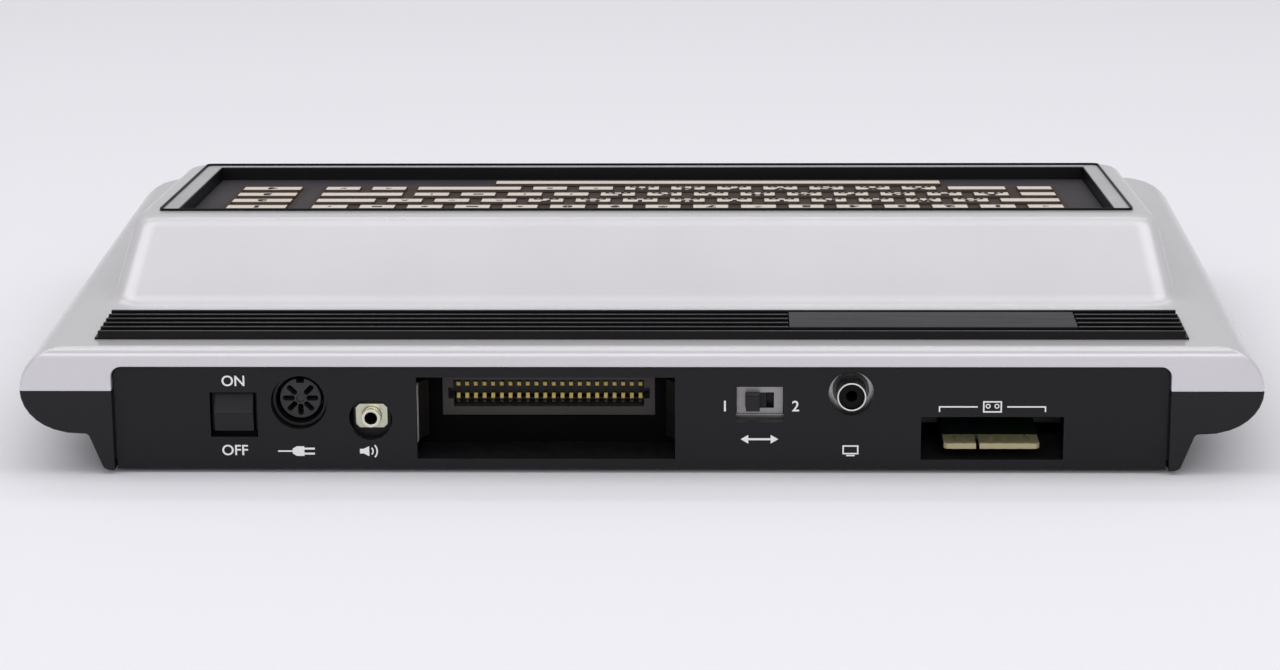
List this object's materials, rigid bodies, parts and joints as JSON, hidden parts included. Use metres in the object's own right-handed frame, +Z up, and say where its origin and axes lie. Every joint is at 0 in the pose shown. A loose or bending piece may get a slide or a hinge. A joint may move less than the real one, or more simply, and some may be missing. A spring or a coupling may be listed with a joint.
{
  "type": "home computer",
  "caption": "Vintage home computer: sloped silver case with a membrane keyboard on a raised deck, a black cooling grille, and a back panel with cartridge slot, jacks and switches.",
  "frame": {"origin": "middle of the footprint, on the plane under the rubber feet", "axes": "+Z up, +Y towards the back panel, +X towards the user's right"},
  "size_m": [0.3558, 0.2356, 0.0604],
  "materials": {
    "shell_silver": "satin",
    "shell_black": "satin",
    "panel_black": "satin",
    "grille_black": "satin",
    "badge_grey": "satin",
    "bezel_grey": "satin",
    "frame_black": "satin",
    "key_sheet_grey": "satin",
    "key_cream": "satin",
    "key_tan": "satin",
    "clear_film": "satin",
    "amber_film": "satin",
    "plated_steel": "satin",
    "screw_steel": "satin",
    "white_plastic": "satin",
    "board_green": "satin",
    "board_tan": "satin",
    "gold_contact": "polished",
    "connector_brown": "satin",
    "switch_black": "satin",
    "socket_grey": "satin",
    "jack_plate": "satin",
    "tinned_can": "satin",
    "tinned_sleeve": "polished",
    "chip_black": "satin",
    "chip_ceramic": "satin",
    "coil_copper": "satin",
    "sink_black": "satin",
    "capacitor_blue": "satin",
    "resistor_tan": "satin",
    "foot_rubber": "matte"
  },
  "bodies": {
    "case": {"top_shell": "shell_silver", "bottom_shell": "shell_black", "rear_panel": "panel_black", "cooling_grille": "grille_black", "badge_plate": "badge_grey", "keyboard_bezel": "bezel_grey", "keyboard_frame": "frame_black", "key_sheet": "key_sheet_grey", "key_pads": "key_cream", "function_key_pads": "key_tan", "key_spacer": "clear_film", "key_circuit": "amber_film", "keyboard_plate": "plated_steel", "keyboard_screws": "screw_steel", "keyboard_tail": "amber_film", "keyboard_socket": "white_plastic", "main_board": "board_green", "cassette_contacts": "gold_contact", "cartridge_guide": "frame_black", "cartridge_springs": "plated_steel", "cartridge_socket": "connector_brown", "cartridge_contacts": "gold_contact", "power_switch_body": "switch_black", "power_socket_body": "switch_black", "power_socket_insert": "socket_grey", "power_socket_contacts": "gold_contact", "audio_jack_body": "switch_black", "audio_jack_plate": "jack_plate", "audio_jack_sleeve": "tinned_sleeve", "rf_modulator": "tinned_can", "modulator_lid": "tinned_can", "modulator_board": "board_tan", "modulator_coils": "coil_copper", "tv_jack_sleeve": "tinned_sleeve", "tv_jack_insulator": "switch_black", "channel_switch_body": "switch_black", "channel_switch_plate": "jack_plate", "control_port_shells": "tinned_can", "control_port_inserts": "switch_black", "control_port_pins": "gold_contact", "processor": "chip_black", "video_chip": "chip_ceramic", "sound_chip": "chip_black", "interface_chip": "chip_black", "memory_chips": "chip_black", "logic_chips": "chip_black", "crystal": "tinned_can", "voltage_regulator": "chip_black", "heat_sink": "sink_black", "capacitors": "capacitor_blue", "resistors": "resistor_tan", "board_screws": "screw_steel", "case_screws": "screw_steel", "rubber_feet": "foot_rubber"},
    "rocker": {"power_rocker": "switch_black"},
    "slider": {"channel_slider": "switch_black"}
  },
  "joints": [
    {"name": "power_rocker_tilt", "type": "hinge", "parent": "case", "child": "rocker", "pos_m": [0.1166, 0.10875, 0.0174], "axis": [-1, 0, 0], "range_deg": [0, 18]},
    {"name": "channel_slide", "type": "slide", "parent": "case", "child": "slider", "axis": [-1, 0, 0], "range_m": [0, 0.004]}
  ]
}
